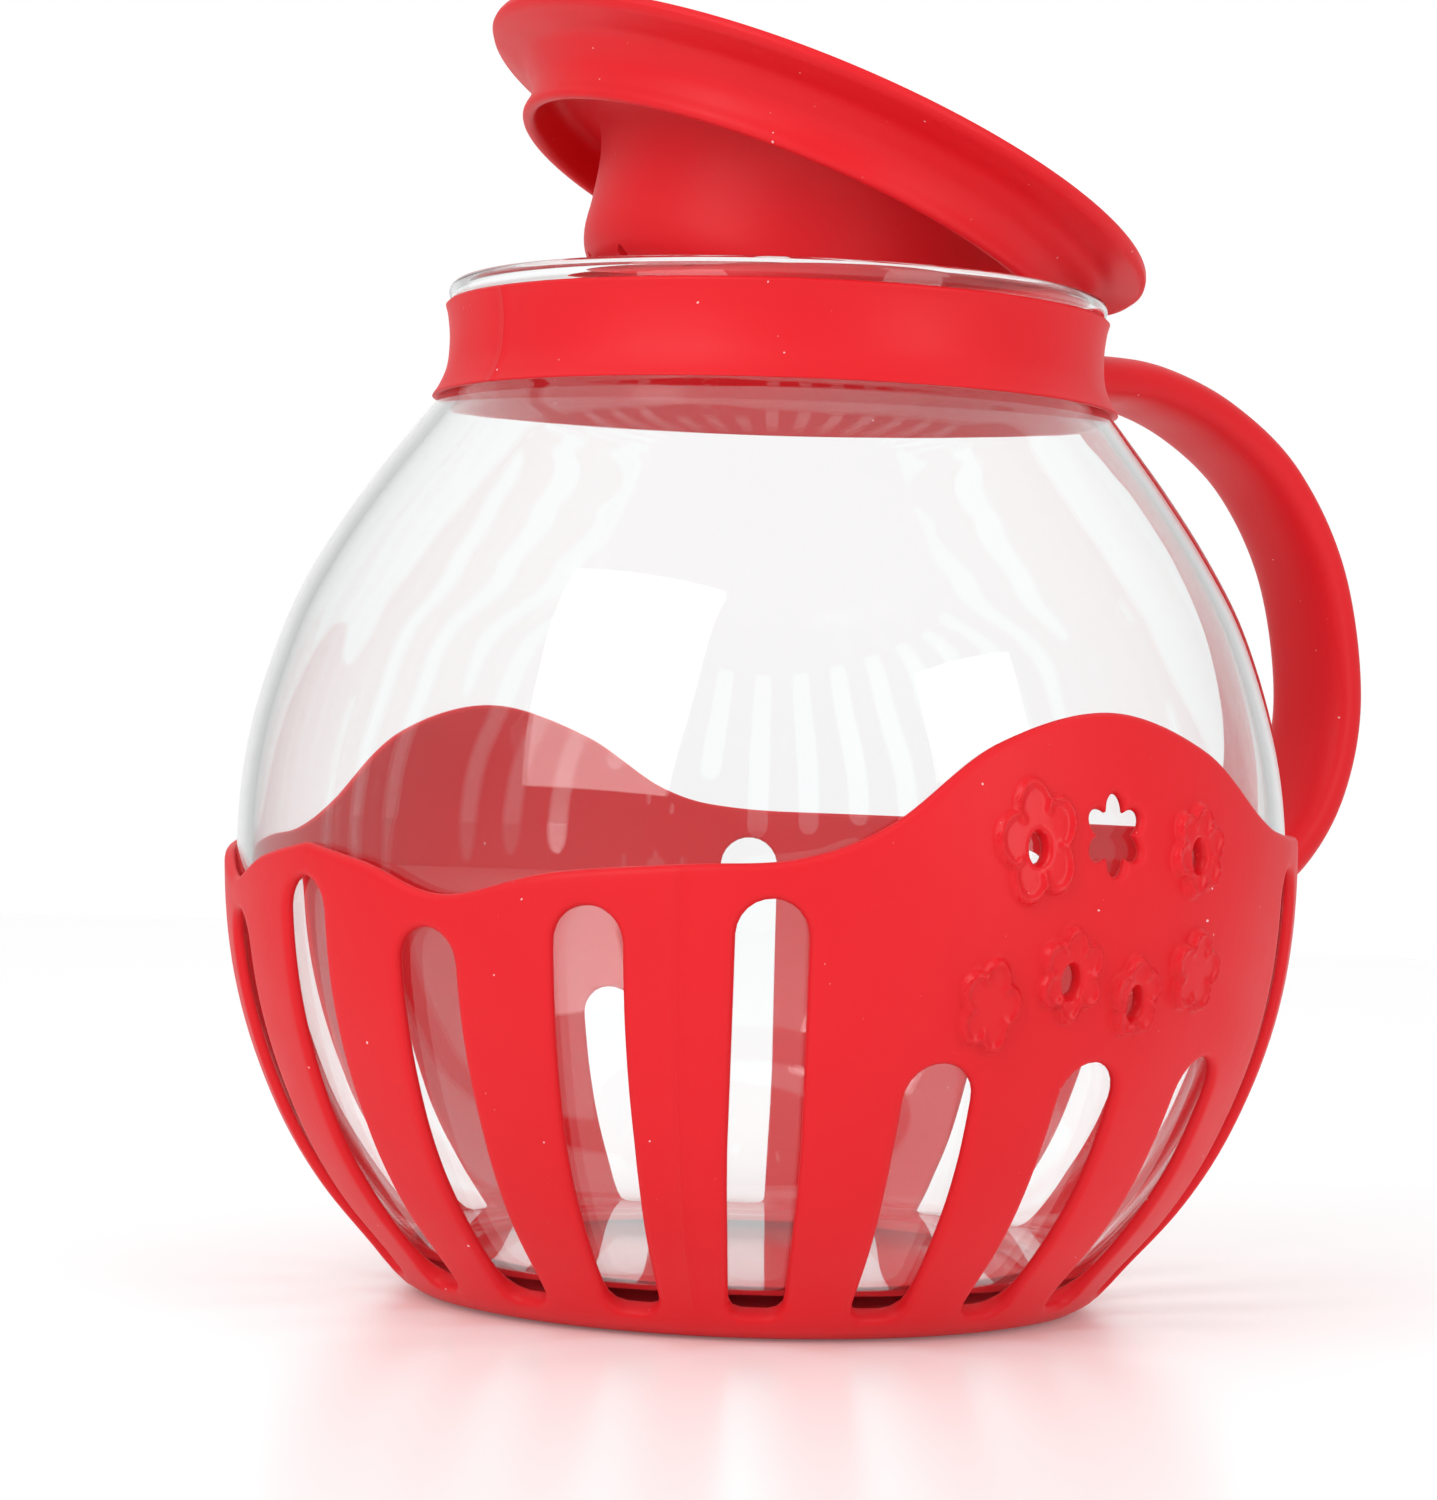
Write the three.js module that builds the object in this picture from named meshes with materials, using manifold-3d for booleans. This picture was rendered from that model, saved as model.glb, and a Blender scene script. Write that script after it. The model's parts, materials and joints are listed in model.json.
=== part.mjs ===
// Popcorn maker: a round glass bowl held in a slotted silicone sleeve, with a silicone collar
// on its neck, a strap handle and a loose lid tipped up on the rim.
// Millimetres, +Z up, base on z = 0 at the origin, decorated face towards -Y, handle towards +X.
// Azimuths are in degrees from the decorated face (-Y) towards the handle (+X).
import * as THREE from "three";
import { mergeVertices } from "three/addons/utils/BufferGeometryUtils.js";
import Module from "manifold-3d";

const wasm = await Module();
wasm.setup();

// ---- Driving dimensions ----

const fitGap = 0.3; // clearance between pieces that touch on the real object
const bowlFacets = 48;
const lidFacets = 40;
const edgeFacets = 60;

// Bowl: outer outline from the base to the neck, as [radius, height]
const bowlOutline = [
  [57, 4.5],
  [63, 6.4],
  [69, 10.6],
  [77.2, 20],
  [83.8, 30],
  [89, 41],
  [92.8, 52],
  [95.2, 63],
  [96.4, 75],
  [96.4, 88],
  [94.9, 101],
  [91.6, 114],
  [86.8, 127],
  [80.2, 139],
  [72.8, 150],
  [65.2, 160],
  [61.8, 164.5],
  [60, 168.5],
  [59.2, 173],
];
const bowlWall = 2.8;
const bowlFloor = 4.5; // thickness
const bowlFloorRadius = 60;
const rimTop = 185.3;
const rimBead = 1.9; // radius of the rolled edge of the mouth
const rimOuter = 61;

// Sleeve: follows the bowl from below, open at the top along a wave
const sleeveWall = 1.9;
const sleeveFoot = [
  [58.5, 0],
  [62, 0.8],
  [66, 3.8],
];
// Height of the sleeve's top edge by azimuth; the back half mirrors the front half
const sleeveEdge = [
  [-90, 82.6],
  [-80, 79.6],
  [-70, 75.1],
  [-58, 79.6],
  [-45, 81.8],
  [-34, 83.2],
  [-25, 89.2],
  [-14, 103],
  [0, 109.1],
  [14, 103.4],
  [25, 92.4],
  [34, 88.8],
  [50, 88.2],
  [90, 88.2],
];
const sleeveReach = [50, 120]; // radii between which every cut through the sleeve's wall runs

// Vent slots, one on every slotPitch of azimuth, each rounded at the top
const slotPitch = 18;
const slotWidth = 12.2;
const slotFootWidth = 9.6;
const slotFootCorner = 2.5;
const slotBottom = 4.6;
const slotTaper = 26; // height over which a slot widens from its foot
const slotBelowEdge = 6;
const shortSlotTop = 50; // under the decorated lobe, its plain twin and the handle's root
const shortSlotAzimuths = [-18, 0, 18, 90, 162, 180, 198];

// Raised popped kernels on the decorated face, each as its azimuth and the height of its middle,
// then its width, its height, its number of lobes and their turn in degrees
const reliefHeight = 1.1;
const lobeDepth = 0.26; // share of the radius lost between two lobes
const kernels = [
  [-10, 87, 16, 22, 5, 10],
  [11, 86, 14, 16.5, 6, 40],
  [-14.2, 60, 11.5, 16.5, 5, 80],
  [-5.4, 65.2, 13.5, 16.5, 6, 0],
  [3.2, 61.4, 11.5, 14.5, 5, 30],
  [11.8, 65.4, 13, 15, 5, 60],
];
const kernelHole = [2.8, 5]; // width and height
const kernelHoleDrop = 1; // below the kernel's middle
const kernelsWithHole = [0, 1, 3, 4];
const flowerHole = [-0.4, 88.4, 12.6, 14, 6, 0];

// Collar: outer outline from its lower lip to its top edge
const collarOutline = [
  [63.5, 164.2],
  [62.2, 166.4],
  [60.9, 170],
  [60.6, 175],
  [61, 179],
  [61.5, 181],
];

// Handle: centre line from the collar round to the sleeve, as [reach, height]
const handleLine = [
  [54, 175.5],
  [74, 175.6],
  [90, 175],
  [108, 169.5],
  [125, 158.5],
  [138, 140],
  [143.5, 116],
  [140, 97],
  [130, 83],
  [115, 74.8],
  [100, 72.4],
  [88, 72.2],
];
const handleWidth = 22;
const handleThickness = 9.6;
const handleSteps = 22;
const rootPad = [26, 13, 2.6]; // width, height and thickness of the pad on the collar
const rootPadReach = 54; // radius from which the pad grows out

// Lid, in its seated pose: heights are from the underside of the brim's edge
const lidSeat = 187.8;
const lidOutline = [
  [64.2, 0],
  [58, -2],
  [56, -3.9],
  [54.2, -6.2],
  [53.6, -9],
  [53.9, -11.6],
  [53, -12.6],
  [51.6, -11.8],
  [51.4, -8],
  [51, -5.2],
  [49.2, -3.9],
  [44.4, -4.2],
  [40.6, -7],
  [38.2, -11.5],
  [36.8, -16.5],
  [35.8, -22],
  [35, -27.5],
  [33, -31.4],
  [29.4, -33.2],
  [0, -33.2],
  [0, -31],
  [28.6, -31],
  [31.4, -29.4],
  [32.9, -26.4],
  [34.8, -16],
  [36.2, -11],
  [38.6, -6],
  [42.4, -2.2],
  [47, -1],
  [57, 0.2],
  [64, 2.4],
  [65, 1.2],
];
const lidHoleCount = 12;
const lidHole = [3, 6, 29.8]; // width and length of a slot in the cup's lower edge, radius of the ring
const lidHoleDepth = 9;
const lidTilt = 21.5;
const lidLowDirection = -19; // degrees from +X, where the tipped lid is lowest
const lidPivot = [59.8, 182]; // reach and height of the line that the lid tips about

// ---- Materials ----

const silicone = new THREE.MeshStandardMaterial({ color: 0xd81f2a, roughness: 0.55 });
const glass = new THREE.MeshStandardMaterial({ color: 0xf2f6f6, roughness: 0.05 });
glass.transparent = true;
glass.opacity = 0.35;

// ---- Helpers ----

// A closed geometry as a solid that can be joined and cut
function solidOf(geometry) {
  const plain = new THREE.BufferGeometry();
  plain.setAttribute("position", geometry.getAttribute("position"));
  plain.setIndex(geometry.index);
  const merged = mergeVertices(plain, 1e-4);
  const triVerts = new Uint32Array(merged.index.array);
  const vertProperties = merged.getAttribute("position").array;
  return new wasm.Manifold(new wasm.Mesh({ numProp: 3, vertProperties, triVerts }));
}

function meshOf(name, solid, material) {
  const made = solid.getMesh();
  const geometry = new THREE.BufferGeometry();
  geometry.setAttribute("position", new THREE.BufferAttribute(new Float32Array(made.vertProperties), 3));
  geometry.setIndex(new THREE.BufferAttribute(new Uint32Array(made.triVerts), 1));
  geometry.computeVertexNormals();
  const mesh = new THREE.Mesh(geometry, material);
  mesh.name = name;
  return mesh;
}

// A turned body whose [radius, height] outline may change with the azimuth
function turned(outlineAt, facets) {
  const points = outlineAt(0).map(([r, z]) => new THREE.Vector2(r, z));
  const geometry = new THREE.LatheGeometry(points, facets);
  const position = geometry.getAttribute("position");
  for (let i = 0; i <= facets; i++) {
    const angle = ((i % facets) / facets) * 2 * Math.PI;
    outlineAt(THREE.MathUtils.radToDeg(angle)).forEach(([r, z], j) => {
      position.setXYZ(i * points.length + j, r * Math.sin(angle), z, r * Math.cos(angle));
    });
  }
  return geometry.rotateX(Math.PI / 2);
}

// Everything inside an outline, out to a margin beyond it
function filledTo(points, margin, facets) {
  const outline = points.map(([r, z]) => [r + margin, z]);
  const closed = [[0, outline[0][1]], ...outline, [0, outline.at(-1)[1]]];
  return solidOf(turned(() => closed, facets));
}

function smoothLine(points, count) {
  const curve = new THREE.SplineCurve(points.map(([r, z]) => new THREE.Vector2(r, z)));
  return curve.getSpacedPoints(count).map((p) => [p.x, p.y]);
}

// An outline moved sideways, to its right when the distance is positive
function offsetLine(points, distance) {
  return points.map(([r, z], i) => {
    const before = points[Math.max(i - 1, 0)];
    const after = points[Math.min(i + 1, points.length - 1)];
    const along = new THREE.Vector2(after[0] - before[0], after[1] - before[1]).normalize();
    return [r + along.y * distance, z - along.x * distance];
  });
}

// Value at x of a line through [x, y] points, straight between them
function valueAt(points, x) {
  const next = Math.max(1, points.findIndex((p) => p[0] >= x));
  const [x0, y0] = points[next - 1];
  const [x1, y1] = points[next];
  return y0 + ((y1 - y0) * (x - x0)) / (x1 - x0);
}

// Radius at a height of the surface that lies a distance outside the bowl
function outerRadius(height, distance) {
  return valueAt(offsetLine(bowlOutline, distance).map(([r, z]) => [z, r]), height);
}

// Front half of the wave, mirrored for the back
const edgeLine = smoothLine(sleeveEdge, 90);
function edgeHeight(azimuth) {
  const turnedBack = ((azimuth + 90 + 360) % 360) - 90;
  return valueAt(edgeLine, Math.min(Math.max(turnedBack > 90 ? 180 - turnedBack : turnedBack, -89.9), 89.9));
}

// A flat shape pushed straight outwards at an azimuth and height, between two radii
function radialPrism(shape, azimuth, height, [from, to] = sleeveReach) {
  const geometry = new THREE.ExtrudeGeometry(shape, { depth: to - from, bevelEnabled: false });
  geometry.rotateX(Math.PI / 2).translate(0, -from, height);
  return solidOf(geometry.rotateZ(THREE.MathUtils.degToRad(azimuth)));
}

// A puffy outline with round lobes, like a popped kernel
function lobedShape([width, height, lobes, turn], steps) {
  const points = [];
  for (let i = 0; i < steps; i++) {
    const angle = (i / steps) * 2 * Math.PI;
    const lobe = Math.abs(Math.sin((lobes * angle) / 2 + THREE.MathUtils.degToRad(turn)));
    const swell = 1 - lobeDepth + lobeDepth * lobe;
    const [across, up] = [(width / 2) * swell, (height / 2) * swell];
    points.push(new THREE.Vector2(across * Math.cos(angle), up * Math.sin(angle)));
  }
  return new THREE.Shape(points);
}

function ovalShape(width, height, steps) {
  const oval = new THREE.Path().absellipse(0, 0, width / 2, height / 2, 0, 2 * Math.PI, false, 0);
  return new THREE.Shape(oval.getPoints(steps).slice(0, -1));
}

// ---- Bowl ----

function glassBowl() {
  const outside = bowlOutline;
  const beadRadius = rimOuter - rimBead;
  const beadHeight = rimTop - rimBead;
  const bead = [-70, -30, 10, 50, 90, 130, 170].map((degrees) => {
    const angle = THREE.MathUtils.degToRad(degrees);
    return [beadRadius + rimBead * Math.cos(angle), beadHeight + rimBead * Math.sin(angle)];
  });
  const neckRadius = outside.at(-1)[0];
  const floorTop = outside[0][1] + bowlFloor;
  const inside = offsetLine(outside, -bowlWall).filter(([, z]) => z > floorTop).reverse();
  const outline = [
    [0, outside[0][1]],
    ...outside,
    [neckRadius, beadHeight - rimBead],
    ...bead,
    [neckRadius - bowlWall, beadHeight - 2 * rimBead],
    ...inside,
    [bowlFloorRadius, floorTop],
    [0, floorTop],
  ];
  return meshOf("glass_bowl", solidOf(turned(() => outline, bowlFacets)), glass);
}

// ---- Sleeve ----

// The sleeve's wall before its top edge is cut, with its outside a chosen distance from the bowl
function sleeveWallOut(distance) {
  const highest = Math.max(...sleeveEdge.map(([, z]) => z));
  const wall = bowlOutline.filter(([, z]) => z < highest + 6);
  const outer = offsetLine(wall, distance).filter(([, z]) => z > sleeveFoot.at(-1)[1] + 3);
  const inner = offsetLine(wall, fitGap).reverse();
  const outline = [[0, 0], ...sleeveFoot, ...outer, ...inner, [0, inner.at(-1)[1]]];
  return solidOf(turned(() => outline, bowlFacets));
}

// All that lies above the sleeve's wavy top edge
function aboveEdge() {
  const [near, far] = sleeveReach;
  const outlineAt = (azimuth) => {
    const bottom = edgeHeight(azimuth);
    const top = bottom + 50;
    return [[near, bottom], [far, bottom], [far, top], [near, top], [near, bottom]];
  };
  return solidOf(turned(outlineAt, edgeFacets));
}

function slotShape(top) {
  const half = slotWidth / 2;
  const foot = slotFootWidth / 2;
  const shape = new THREE.Shape();
  shape.moveTo(-foot + slotFootCorner, slotBottom);
  shape.lineTo(foot - slotFootCorner, slotBottom);
  shape.lineTo(foot, slotBottom + slotFootCorner);
  shape.lineTo(half, slotBottom + slotTaper);
  shape.lineTo(half, top - half);
  shape.absarc(0, top - half, half, 0, Math.PI, false);
  shape.lineTo(-half, slotBottom + slotTaper);
  shape.lineTo(-foot, slotBottom + slotFootCorner);
  return new THREE.Shape(shape.getPoints(3));
}

function sleeve() {
  let body = sleeveWallOut(fitGap + sleeveWall);
  const thick = sleeveWallOut(fitGap + sleeveWall + reliefHeight);
  const hollow = filledTo(offsetLine(bowlOutline, fitGap), sleeveWall / 2, bowlFacets);
  for (const [azimuth, height, ...size] of kernels) {
    const relief = radialPrism(lobedShape(size, 20), azimuth, height).subtract(hollow);
    body = body.add(relief.intersect(thick));
  }
  body = body.subtract(aboveEdge());
  for (const [azimuth, height] of kernelsWithHole.map((i) => kernels[i])) {
    body = body.subtract(radialPrism(ovalShape(...kernelHole, 8), azimuth, height - kernelHoleDrop));
  }
  const [azimuth, height, ...size] = flowerHole;
  body = body.subtract(radialPrism(lobedShape(size, 24), azimuth, height));
  for (let slot = -90; slot < 270; slot += slotPitch) {
    const top = shortSlotAzimuths.includes(slot) ? shortSlotTop : edgeHeight(slot) - slotBelowEdge;
    body = body.subtract(radialPrism(slotShape(top), slot, 0));
  }
  return meshOf("sleeve", body, silicone);
}

// ---- Collar ----

function neckCollar() {
  const outside = smoothLine(collarOutline, 7);
  const [neckRadius, neckHeight] = bowlOutline.at(-1);
  const inside = outside.map(([, z]) => [z > neckHeight ? neckRadius + fitGap : outerRadius(z, fitGap), z]);
  const outline = [...outside, ...inside.reverse(), outside[0]];
  return meshOf("neck_collar", solidOf(turned(() => outline, bowlFacets)), silicone);
}

// ---- Handle ----

function strapShape() {
  const flat = (handleWidth - handleThickness) / 2;
  const shape = new THREE.Shape();
  shape.absarc(flat, 0, handleThickness / 2, -Math.PI / 2, Math.PI / 2, false);
  shape.absarc(-flat, 0, handleThickness / 2, Math.PI / 2, 1.5 * Math.PI, false);
  return new THREE.Shape(shape.getPoints(6));
}

function handle() {
  const path = new THREE.CatmullRomCurve3(handleLine.map(([r, z]) => new THREE.Vector3(r, 0, z)));
  const strap = solidOf(new THREE.ExtrudeGeometry(strapShape(), { steps: handleSteps, extrudePath: path }));
  const [width, height, thickness] = rootPad;
  const waist = Math.min(...collarOutline.map(([r]) => r));
  const padReach = [rootPadReach, waist + thickness];
  const pad = radialPrism(ovalShape(width, height, 20), 90, handleLine[0][1], padReach);
  const [lowest, highest] = [collarOutline[0], collarOutline.at(-1)];
  const collarLine = [[waist, lowest[1] - 10], ...smoothLine(collarOutline, 7), [highest[0], highest[1] + 10]];
  const sleeveLine = offsetLine(bowlOutline, fitGap + sleeveWall).filter(([, z]) => z > 40 && z < 105);
  const body = strap
    .add(pad)
    .subtract(filledTo(collarLine, fitGap, bowlFacets))
    .subtract(filledTo(sleeveLine, fitGap, bowlFacets));
  return meshOf("handle", body, silicone);
}

// ---- Lid ----

function lid() {
  const outline = [...lidOutline, lidOutline[0]].map(([r, z]) => [r, z + lidSeat]).reverse();
  let body = solidOf(turned(() => outline, lidFacets));
  const lidBottom = Math.min(...lidOutline.map(([, z]) => z));
  const [width, length, ring] = lidHole;
  for (let i = 0; i < lidHoleCount; i++) {
    const upwards = { depth: lidHoleDepth, bevelEnabled: false };
    const slot = new THREE.ExtrudeGeometry(ovalShape(width, length, 6), upwards);
    slot.translate(0, ring, lidSeat + lidBottom - 2).rotateZ((i / lidHoleCount) * 2 * Math.PI);
    body = body.subtract(solidOf(slot));
  }
  const mesh = meshOf("lid", body, silicone);
  const low = THREE.MathUtils.degToRad(lidLowDirection);
  const [reach, height] = lidPivot;
  const pivot = new THREE.Vector3(reach * Math.cos(low), reach * Math.sin(low), height);
  const axis = new THREE.Vector3(-Math.sin(low), Math.cos(low), 0);
  mesh.geometry.translate(-pivot.x, -pivot.y, -pivot.z);
  mesh.geometry.applyMatrix4(new THREE.Matrix4().makeRotationAxis(axis, THREE.MathUtils.degToRad(lidTilt)));
  mesh.geometry.translate(pivot.x, pivot.y, pivot.z);
  return mesh;
}

const popcornMaker = new THREE.Group();
popcornMaker.name = "popcorn_maker";
popcornMaker.add(glassBowl(), sleeve(), neckCollar(), handle(), lid());
export default popcornMaker;
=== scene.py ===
"""Popcorn maker: a smooth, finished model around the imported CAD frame.

Outlines are in millimetres, as [radius, height] pairs. Azimuths are in degrees from the
decorated face (-Y) towards the handle (+X). Every mesh is scaled to metres when it is made.
"""

import json
import math

import bmesh
import bpy
import numpy as np
from mathutils import Matrix, Vector
from mathutils.geometry import delaunay_2d_cdt
from mathutils.kdtree import KDTree


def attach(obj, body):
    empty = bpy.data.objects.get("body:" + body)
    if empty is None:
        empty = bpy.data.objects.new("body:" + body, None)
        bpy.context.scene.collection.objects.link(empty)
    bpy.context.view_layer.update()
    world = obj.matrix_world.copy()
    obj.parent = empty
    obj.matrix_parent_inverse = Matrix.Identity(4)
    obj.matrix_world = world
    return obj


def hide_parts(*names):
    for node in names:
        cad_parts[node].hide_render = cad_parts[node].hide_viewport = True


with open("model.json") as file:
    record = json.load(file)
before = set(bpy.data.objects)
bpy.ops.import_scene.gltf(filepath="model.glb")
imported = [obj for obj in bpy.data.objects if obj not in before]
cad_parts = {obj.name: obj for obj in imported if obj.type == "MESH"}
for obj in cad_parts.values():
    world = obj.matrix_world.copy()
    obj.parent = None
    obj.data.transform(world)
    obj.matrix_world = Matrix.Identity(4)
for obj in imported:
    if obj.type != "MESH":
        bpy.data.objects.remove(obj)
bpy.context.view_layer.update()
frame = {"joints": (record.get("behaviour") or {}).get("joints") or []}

MM = 0.001
TURN = 2 * math.pi

# ---- Sizes, in millimetres ----

# The bowl's outside, from its base to its neck
BOWL_OUTLINE = [
    (57, 4.5), (63, 6.4), (69, 10.6), (77.2, 20), (83.8, 30), (89, 41), (92.8, 52),
    (95.2, 63), (96.4, 75), (96.4, 88), (94.9, 101), (91.6, 114), (86.8, 127),
    (80.2, 139), (72.8, 150), (65.2, 160), (61.8, 164.5), (60, 168.5), (59.2, 173),
]
BOWL_STEPS = 8
BOWL_WALL = 2.8
BOWL_FLOOR = 4.5
# Where the inside wall turns into the floor: how far in and how high above the floor
HEEL_TOP = 1.2
BOWL_HEEL = [(2.2, 0.25), (6, 0)]
RIM_TOP = 185.3
RIM_OUTER = 61.0
# The rim's bead: its radius, the part of a circle it takes up, and how far below its middle the neck ends
RIM_BEAD = 1.9
RIM_BEAD_ARC = (-75, 195)
NECK_END_OUT = 3.4
NECK_END_IN = 4.2

FIT_GAP = 0.3  # between the glass and the silicone
SLEEVE_WALL = 1.9
# The point of the bowl's outline at which the sleeve starts to follow it
SLEEVE_FOLLOWS = 2
# Matching points of the sleeve's outside and inside, from the middle of its floor to its wall
SLEEVE_FOOT = [(0, 0), (30, 0), (55, 0), (59.4, 0.1), (62.8, 1.2), (66, 3.8)]
SLEEVE_FLOOR = [(0, 4.2), (30, 4.2), (53, 4.2), (56, 4.2), (58.8, 4.4), (61.8, 5.5)]
# The wavy top edge over the front half, as azimuth and height
SLEEVE_EDGE = [
    (-90, 82.6), (-80, 79.6), (-70, 75.1), (-58, 79.6), (-45, 81.8), (-34, 83.2), (-25, 89.2),
    (-14, 103), (0, 109.1), (14, 103.4), (25, 92.4), (34, 88.8), (50, 88.2), (90, 88.2),
]
# The radii at which an edge is rounded on the outside and on the inside
EDGE_ROUND_OUT = 1.35
EDGE_ROUND_IN = SLEEVE_WALL - EDGE_ROUND_OUT

SLOT_PITCH = 18
SLOT_WIDTH = 12.2
SLOT_FOOT_WIDTH = 9.6
SLOT_CORNER = 2.6
# How much short of its full half width a slot is, at heights above its foot
SLOT_TAPER = [(0.25, 22), (0, 30)]
SLOT_BOTTOM = 4.6
SLOT_BELOW_EDGE = 6
SHORT_SLOT_TOP = 50
SHORT_SLOTS = (-18, 0, 18, 90, 162, 180, 198)

# Azimuth and height of the middle, width and height, number of lobes and their turn in degrees
KERNELS = [
    (-10, 87, 16, 22, 5, 10),
    (11, 86, 14, 16.5, 6, 40),
    (-14.2, 60, 11.5, 16.5, 5, 80),
    (-5.4, 65.2, 13.5, 16.5, 6, 0),
    (3.2, 61.4, 11.5, 14.5, 5, 30),
    (11.8, 65.4, 13, 15, 5, 60),
]
LOBE_DEPTH = 0.26
# How far a kernel's face stands out, and how much further the bead inside its outline does
RELIEF_FACE = 0.85
RELIEF_BEAD = 0.8
BEAD_INSET = 0.85
BEAD_WIDTH = 0.5
CREASE_WIDTH = 0.45
# The share of the bead's height that a crease has, and of the kernel's size at which it starts
CREASE_SHARE = 0.8
CREASE_START = 0.42
CREASE_FADE = 0.12
# The reliefs sink away over this distance towards an edge of the sleeve
RELIEF_FADE = 0.8
# Width and height of the hole in a kernel, and how far it lies below the kernel's middle
KERNEL_HOLE = (2.8, 5)
KERNEL_HOLE_DROP = 1
KERNELS_WITH_HOLE = (0, 1, 3, 4)
# The flower is given as the kernels are
FLOWER_HOLE = (-0.4, 88.4, 12.6, 14, 6, 0)
PETAL_DEPTH = 0.4

# The lines left where the two halves of a mould met: azimuths, height and half width of the ridge
SLEEVE_MOULD_LINES = (-45, 135)
COLLAR_MOULD_LINES = (90, 270)
MOULD_LINE_HEIGHT = 0.26
MOULD_LINE_HALF_WIDTH = 0.5
MOULD_LINE_STEP = 0.8
# The sleeve's mould lines rise to their full height over this distance from the foot
MOULD_LINE_RISE = 4

# The sleeve's flat pattern: the radius it is drawn at and the azimuth it is cut open along
PATTERN_RADIUS = 90.0
PATTERN_CUT = -81.0
# Spacing of its points, and how clear they keep of the closer points laid before them
COARSE_STEP = 2.8
COARSE_CLEARANCE = 1.2
COARSE_BELOW_EDGE = 3.4
FINE_STEP = 0.5
FINE_CLEARANCE = 0.25
FINE_MARGIN = 1.5
SLOT_STEP = 1.6
FLOWER_STEP = 0.5
EDGE_STEPS = 420
# The distances from an edge at which rows of points run
EDGE_ROWS = (0, 0.13, 0.48, 0.89, EDGE_ROUND_OUT, 2.4)
HOLE_ROWS = EDGE_ROWS[:4]

COLLAR_OUTLINE = [(63.5, 164.2), (62.2, 166.4), (60.9, 170), (60.6, 175), (61, 179), (61.5, 181)]
# The collar's rounded top edge, as steps inwards and upwards from the end of its outline
COLLAR_LIP = [(0.5, 0.5), (1.3, 0.5)]

# The middle of the strap, as reach and height
HANDLE_LINE = [
    (59.5, 175.5), (74, 175.6), (90, 175), (108, 169.5), (125, 158.5), (138, 140),
    (143.5, 116), (140, 97), (130, 83), (115, 74.8), (97.4, 72.3),
]
HANDLE_WIDTH = 22
HANDLE_THICKNESS = 9.6
HANDLE_SQUARENESS = 2.6
HANDLE_POINTS = 40
# How much thicker and wider the strap is at its roots, and over what length
ROOT_FLARE = 3.0
ROOT_SPREAD = 1.3
ROOT_LENGTH = 3

LID_SEAT = 187.8
# The lid's underside, from the brim's edge to the middle of the cup, and its upper side back again
LID_UNDERSIDE = [
    (64.6, 0.1), (61, -1.05), (58, -2), (56, -3.9), (54.2, -6.2), (53.6, -9), (53.9, -11.6), (53, -12.6),
    (51.6, -11.8), (51.4, -8), (51, -5.2), (49.2, -3.9), (44.4, -4.2), (40.6, -7), (38.2, -11.5),
    (36.8, -16.5), (35.8, -22), (35, -27.5), (33, -31.4), (29.4, -33.2), (20, -33.2), (8, -33.2), (0, -33.2),
]
LID_TOP = [
    (0, -31), (8, -31), (20, -31), (28.6, -31), (31.4, -29.4), (32.9, -26.4), (34.8, -16), (36.2, -11),
    (38.6, -6), (42.4, -2.2), (47, -1), (57, 0.2), (64, 2.4), (65.1, 2.1), (65.3, 1.1),
]
LID_TILT = 21.5
LID_SLOTS = 12
# Width, length, and distance from the lid's axis
LID_SLOT = (3, 6, 29.8)
# The block that cuts them starts this far below the cup, and is this tall
SLOT_CUTTER_BELOW = 2
SLOT_CUTTER_HEIGHT = 8
# Edges that turn by more degrees than this are shaded sharp
LID_SHARP_EDGE = 40

# How many points go round each turned piece
BOWL_SEGMENTS = 192
COLLAR_SEGMENTS = 160
LID_SEGMENTS = 160

# ---- Looks. Scales are in patches to a metre, and depths in metres ----

RED_LIGHT = (0.72, 0.009, 0.016)
RED_DEEP = (0.67, 0.007, 0.013)
DRIFT_SCALE = 18
SPECK_COLOUR = (0.85, 0.5, 0.5)
SPECK_SCALE = 1100
SPECK_LEVELS = (0.885, 0.91)
SILICONE_ROUGHNESS = 0.46
GLOSS_SCALE = 60
GLOSS_SPREAD = 0.04
# The kernels' faces are smoother than the rest. This attribute says where, and by how much
POLISH = "polish"
POLISH_GAIN = 0.24
TOOTH_SCALE = 900
TOOTH_STRENGTH = 0.1
TOOTH_DEPTH = 0.0002
SILICONE_IOR = 1.32
SILICONE_SUBSURFACE = 0.05
SILICONE_SUBSURFACE_RADIUS = (0.004, 0.0008, 0.0006)

GLASS_COLOUR = (0.985, 0.995, 0.995)
GLASS_IOR = 1.47
SMEAR_SCALE = 25
SMEAR_ROUGHNESS = 0.03

# ---- Stage ----

# The camera, as a place relative to the object's own axis
CAMERA_AZIMUTH = -37.4
CAMERA_DISTANCE = 752
CAMERA_HEIGHT = 100
CAMERA_AIM_LEFT = 8.4
CAMERA_AIM_HEIGHT = 100.5
CAMERA_ROLL = 1.84
CAMERA_LENS = 97.2
CAMERA_SENSOR = 36
CAMERA_NEAR = 0.05  # metres

# Strength of the studio's sides, and what the ceiling and the backdrop behind the object add to it
SIDE_LIGHT = 0.6
CEILING_LIGHT = 0.35
BACKDROP_LIGHT = 0.4
# The cosines, from overhead and from straight behind, between which each comes in
CEILING_EDGE = (0.25, 0.8)
BACKDROP_EDGE = (0.86, 0.96)
# Azimuth from the camera's, elevation, distance and size in metres, and power in watts
KEY_SOFTBOX = (-35, 30, 1.2, (0.7, 0.9), 5.8)
FILL_SOFTBOX = (48, 14, 1.3, (0.5, 0.9), 3.4)

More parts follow.
